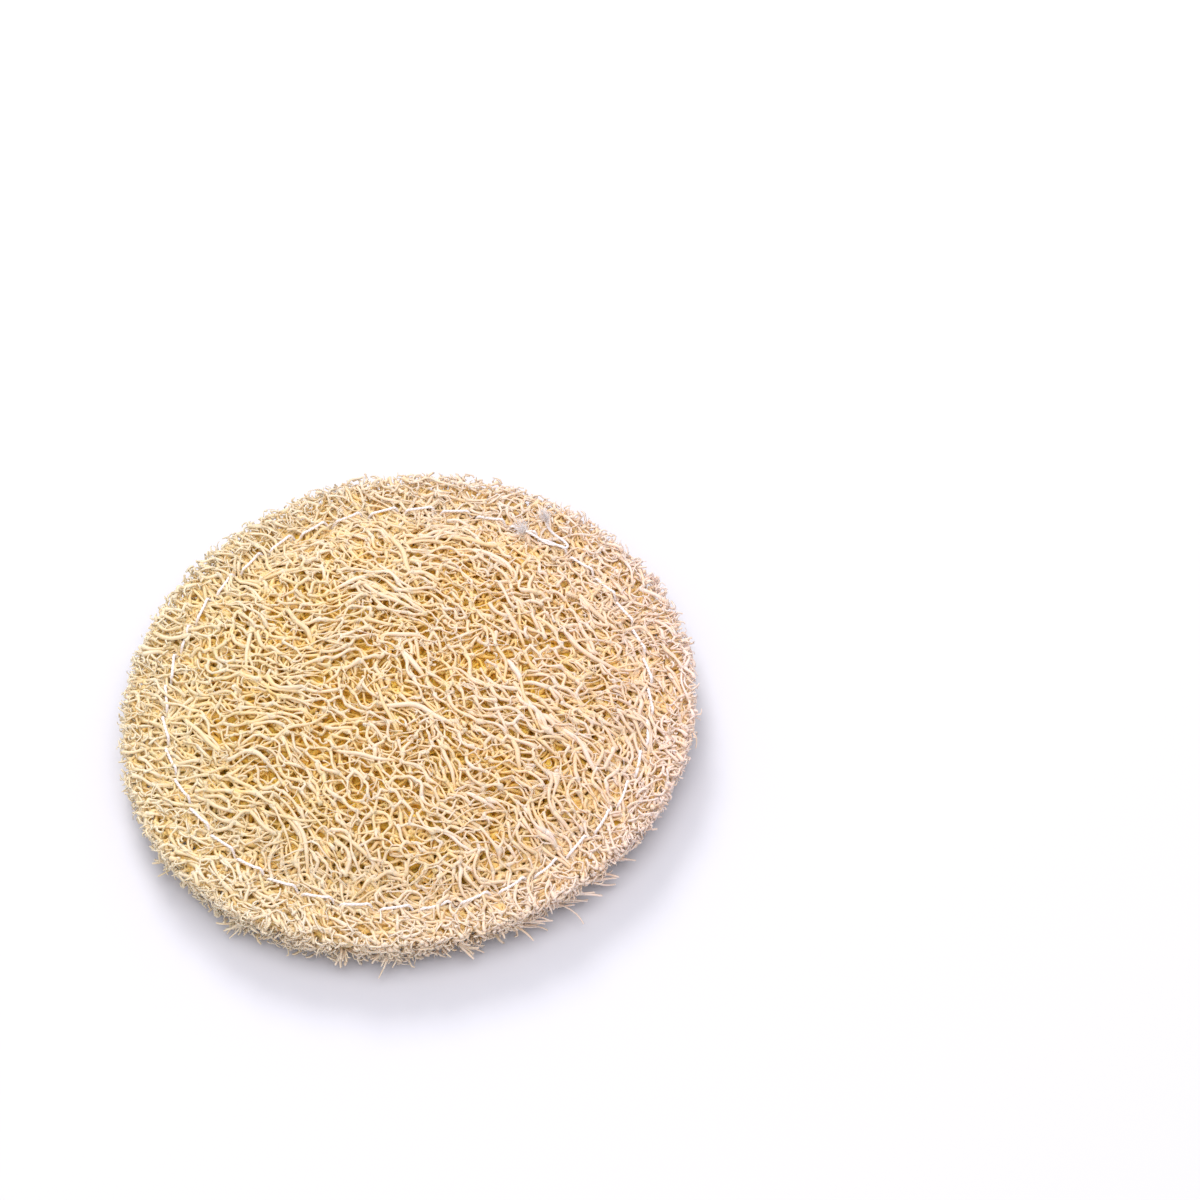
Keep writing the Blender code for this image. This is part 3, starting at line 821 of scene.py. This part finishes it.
def make_frayed_ends(material):
    """The needle thread's two loose ends, opened out into their single cotton hairs."""
    rng = np.random.default_rng(FRAYED_SEED)
    roots = np.array([FIRST_TAIL[0], LAST_TAIL[-1]])
    before = np.array([FIRST_TAIL[1], LAST_TAIL[-2]])
    lean = np.repeat(roots - before, FRAYED_HAIRS, axis=0)
    place = np.repeat(roots, FRAYED_HAIRS, axis=0) + rng.normal(0, FRAYED_SCATTER_MM, lean.shape) * MM
    level = np.hypot(lean[:, 0], lean[:, 1])
    heading = np.arctan2(lean[:, 1], lean[:, 0]) + rng.normal(0, FRAYED_HEADING_SPREAD, len(lean))
    tilt = np.arctan2(lean[:, 2], level) + rng.normal(FRAYED_TILT, FRAYED_TILT_SPREAD, len(lean))
    paths, thickness, tone = loose_fibres(
        place, heading, tilt, FRAYED_LENGTH, FRAYED_HALF_THICK, FRAYED_TURNING, FRAYED_POINTS, rng
    )
    piece = fibre_mesh("needle_thread_frayed_ends", paths, thickness, tone, tone, sides=3, flat=1.0)
    place_piece(piece, "needle_thread", material)


def make_threads(material):
    needle_line = stitched_line(1, FIRST_TAIL, LAST_TAIL)
    bobbin_line = stitched_line(-1, FIRST_TAIL_BELOW, LAST_TAIL_BELOW)
    make_thread("needle_thread_plies", "needle_thread", needle_line, material)
    make_thread("bobbin_thread_plies", "bobbin_thread", bobbin_line, material)
    make_frayed_ends(material)


def linear(hex_colour):
    """The shader's colour for an sRGB one."""
    channels = [int(hex_colour[i:i + 2], 16) / 255 for i in (1, 3, 5)]
    return (*(c / 12.92 if c <= 0.04045 else ((c + 0.055) / 1.055) ** 2.4 for c in channels), 1.0)


def add_node(tree, kind, settings=None, links=None):
    """Adds a node. settings fills its properties and sockets, and links joins sockets to other outputs."""
    node = tree.nodes.new(kind)
    for key, value in (settings or {}).items():
        if isinstance(key, str) and hasattr(node, key):
            setattr(node, key, value)
        else:
            node.inputs[key].default_value = value
    for key, output in (links or {}).items():
        tree.links.new(output, node.inputs[key])
    return node


def mixed(tree, factor, low, high, blend="MIX"):
    """A colour mix. low and high are each an output or a colour."""
    mix = add_node(tree, "ShaderNodeMix", {"data_type": "RGBA", "blend_type": blend})
    for socket, value in ((0, factor), (6, low), (7, high)):
        if isinstance(value, bpy.types.NodeSocket):
            tree.links.new(value, mix.inputs[socket])
        else:
            mix.inputs[socket].default_value = value
    return mix.outputs[2]


def new_material(name, settings):
    """A material with the given values on its shader's own sockets, its node tree and its shader."""
    material = bpy.data.materials.new(name)
    material.use_nodes = True
    shader = material.node_tree.nodes["Principled BSDF"]
    for socket, value in settings.items():
        shader.inputs[socket].default_value = value
    return material, material.node_tree, shader


def add_relief(tree, shader, place, per_mm, strength, height):
    """Fine ridges in the surface, so many of them in a millimetre."""
    ridges = add_node(tree, "ShaderNodeTexNoise", {"Scale": per_mm / MM, "Detail": 2.0}, {"Vector": place})
    bump = add_node(
        tree, "ShaderNodeBump",
        {"Strength": strength, "Distance": height},
        {"Height": ridges.outputs["Fac"]},
    )
    tree.links.new(bump.outputs["Normal"], shader.inputs["Normal"])


# The net's tint drifts between these places along the X axis
TINT_FROM = -30 * MM
TINT_TO = 35 * MM
# Stains: how many a millimetre holds, the part of the noise that shows them, and their strength
STAINS_PER_MM = 0.7
STAINS_FROM = 0.45
STAINS_FULL = 0.75
STAIN_STRENGTH = 0.35
FIBRE_RIDGES_PER_MM = 9
FIBRE_RIDGE_HEIGHT = 0.04 * MM
COTTON_HAIRS_PER_MM = 12
COTTON_HAIR_HEIGHT = 0.03 * MM


def dried_loofah_fibre():
    """Retted and sun-dried loofah: matt cream fibre, paler where it was rubbed, with a painted golden glow
    far inside the net.
    """
    # Light sinks a fifth of a millimetre into the dry fibre, which softens the shade between the strands
    material, tree, shader = new_material("dried_loofah_fibre", {
        "Roughness": 0.6,
        "IOR": 1.45,
        "Subsurface Weight": 0.3,
        "Subsurface Radius": (1.0, 0.8, 0.6),
        "Subsurface Scale": 0.2 * MM,
    })
    tone = add_node(tree, "ShaderNodeAttribute", {"attribute_name": "tone"}).outputs["Fac"]
    painted_glow = add_node(tree, "ShaderNodeAttribute", {"attribute_name": "painted_glow"}).outputs["Fac"]
    # From dull tan strands to those bleached by the sun
    ramp = add_node(tree, "ShaderNodeValToRGB", links={"Fac": tone})
    ramp.color_ramp.elements[0].color = linear("#E9D3AE")
    ramp.color_ramp.elements[1].color = linear("#F4E6DD")
    ramp.color_ramp.elements.new(0.5).color = linear("#F0DCC8")
    # The net's tint drifts over some centimetres, from greenish straw on one side to pinkish cream
    place = add_node(tree, "ShaderNodeTexCoord").outputs["Object"]
    apart = add_node(tree, "ShaderNodeSeparateXYZ", links={"Vector": place})
    across = add_node(
        tree, "ShaderNodeMapRange",
        {"From Min": TINT_FROM, "From Max": TINT_TO},
        {"Value": apart.outputs["X"]},
    ).outputs["Result"]
    tint = mixed(tree, across, linear("#FAFAE4"), linear("#FFF7F6"))
    cream = mixed(tree, 1.0, ramp.outputs["Color"], tint, "MULTIPLY")
    # Stains and waxy patches a millimetre or two long
    patches = add_node(
        tree, "ShaderNodeTexNoise", {"Scale": STAINS_PER_MM / MM, "Detail": 3.0}, {"Vector": place}
    )
    patchy = add_node(
        tree, "ShaderNodeMapRange",
        {"From Min": STAINS_FROM, "From Max": STAINS_FULL, "To Max": STAIN_STRENGTH},
        {"Value": patches.outputs["Fac"]},
    ).outputs["Result"]
    stained = mixed(tree, patchy, cream, linear("#EACB94"))
    # Painted light: fibres far inside the net get a golden colour that stands in for the light that comes out
    # golden after bouncing between several fibres
    golden = mixed(tree, painted_glow, stained, linear("#FFD25A"))
    tree.links.new(golden, shader.inputs["Base Color"])
    # The fibre's own fine ridges, a tenth of a millimetre wide, break up its sheen
    add_relief(tree, shader, place, FIBRE_RIDGES_PER_MM, 0.35, FIBRE_RIDGE_HEIGHT)
    return material


def white_cotton():
    """Soft cotton sewing thread: near white with a faint warm cast, matt and a little fuzzy."""
    material, tree, shader = new_material("white_cotton_thread", {
        "Base Color": linear("#F9F3F3"),
        "Roughness": 0.7,
        "Sheen Weight": 0.6,
    })
    # Its single hairs, too fine to be told apart, blur the edge of each highlight
    place = add_node(tree, "ShaderNodeTexCoord").outputs["Object"]
    add_relief(tree, shader, place, COTTON_HAIRS_PER_MM, 0.4, COTTON_HAIR_HEIGHT)
    return material


# The camera looks down at the pad, which lies left of the middle of the picture and below it
PHOTO_SIDE = 1200
PAD_CENTRE_PIXEL = (408, 695)
PAD_WIDTH_PIXELS = 580
PAD_HALF_WIDTH = PAD_RADIUS + 0.5 * MM
LENS = 85.0
SENSOR = 36.0
LOOK_DOWN = math.radians(55)
AIM_HEIGHT = 7.5 * MM
CLIP_START = 10 * MM


def add_camera():
    distance = LENS / SENSOR * 2 * PAD_HALF_WIDTH * PHOTO_SIDE / PAD_WIDTH_PIXELS
    right_shift = (PAD_CENTRE_PIXEL[0] - PHOTO_SIDE / 2) / PHOTO_SIDE * SENSOR / LENS
    up_shift = (PHOTO_SIDE / 2 - PAD_CENTRE_PIXEL[1]) / PHOTO_SIDE * SENSOR / LENS
    pitch = LOOK_DOWN - math.atan(-up_shift)
    turn = Matrix.Rotation(math.pi / 2 - pitch, 4, "X")
    ray = turn @ Vector((right_shift, up_shift, -1.0))
    camera = bpy.data.objects.new("camera", bpy.data.cameras.new("camera"))
    camera.data.lens = LENS
    camera.data.sensor_width = SENSOR
    camera.data.clip_start = CLIP_START
    camera.matrix_world = Matrix.Translation(Vector((0, 0, AIM_HEIGHT)) - ray * distance) @ turn
    bpy.context.scene.collection.objects.link(camera)
    bpy.context.scene.camera = camera


def add_lamp(name, place, size, power, colour):
    """A round softbox that faces the pad. Its size is in metres and its power in watts."""
    lamp = bpy.data.lights.new(name, "AREA")
    lamp.shape = "DISK"
    lamp.size = size
    lamp.energy = power
    lamp.color = colour
    holder = bpy.data.objects.new(name, lamp)
    holder.location = place
    holder.rotation_euler = (-Vector(place)).to_track_quat("-Z", "Y").to_euler()
    bpy.context.scene.collection.objects.link(holder)


FLOOR_SIZE = 6
WORLD_STRENGTH = 0.66


def add_studio():
    """A paper floor lit nearly to white, a softbox behind the pad, a large one over it, and a pale room."""
    bpy.ops.mesh.primitive_plane_add(size=FLOOR_SIZE, location=(0, 0, 0))
    floor = bpy.context.object
    floor.name = "floor"
    # Matt paper, a little grey so that the shadow under the pad shows on it
    paper = new_material("white_paper_backdrop", {
        "Base Color": linear("#DBDCE3"),
        "Roughness": 0.9,
        "Specular IOR Level": 0.1,
    })[0]
    floor.data.materials.append(paper)
    world = bpy.data.worlds.new("studio")
    world.use_nodes = True
    world.node_tree.nodes["Background"].inputs["Color"].default_value = linear("#F7F5FC")
    world.node_tree.nodes["Background"].inputs["Strength"].default_value = WORLD_STRENGTH
    bpy.context.scene.world = world
    add_lamp("key", place=(-0.24, 0.72, 0.68), size=0.4, power=5.6, colour=(1.0, 0.97, 0.94))
    add_lamp("fill", place=(0.05, -0.2, 1.0), size=1.0, power=6.4, colour=(1.0, 0.98, 0.98))
    bpy.context.scene.view_settings.view_transform = "Standard"


def main():
    bpy.ops.object.select_all(action="DESELECT")
    add_camera()
    add_studio()
    fibre = dried_loofah_fibre()
    for layer in UPPER_LAYERS:
        make_net(layer, side=1, material=fibre)
    for layer in LOWER_LAYERS:
        make_net(layer, side=-1, material=fibre)
    make_felt("upper_felt", side=1, material=fibre)
    make_felt("lower_felt", side=-1, material=fibre)
    make_long_strands(UPPER_LAYERS[0], fibre)
    make_cut_ends("upper_cut_ends", side=1, seed=101, material=fibre)
    make_cut_ends("lower_cut_ends", side=-1, seed=102, material=fibre)
    make_tufts(fibre)
    make_fine_hairs(fibre)
    make_threads(white_cotton())


main()
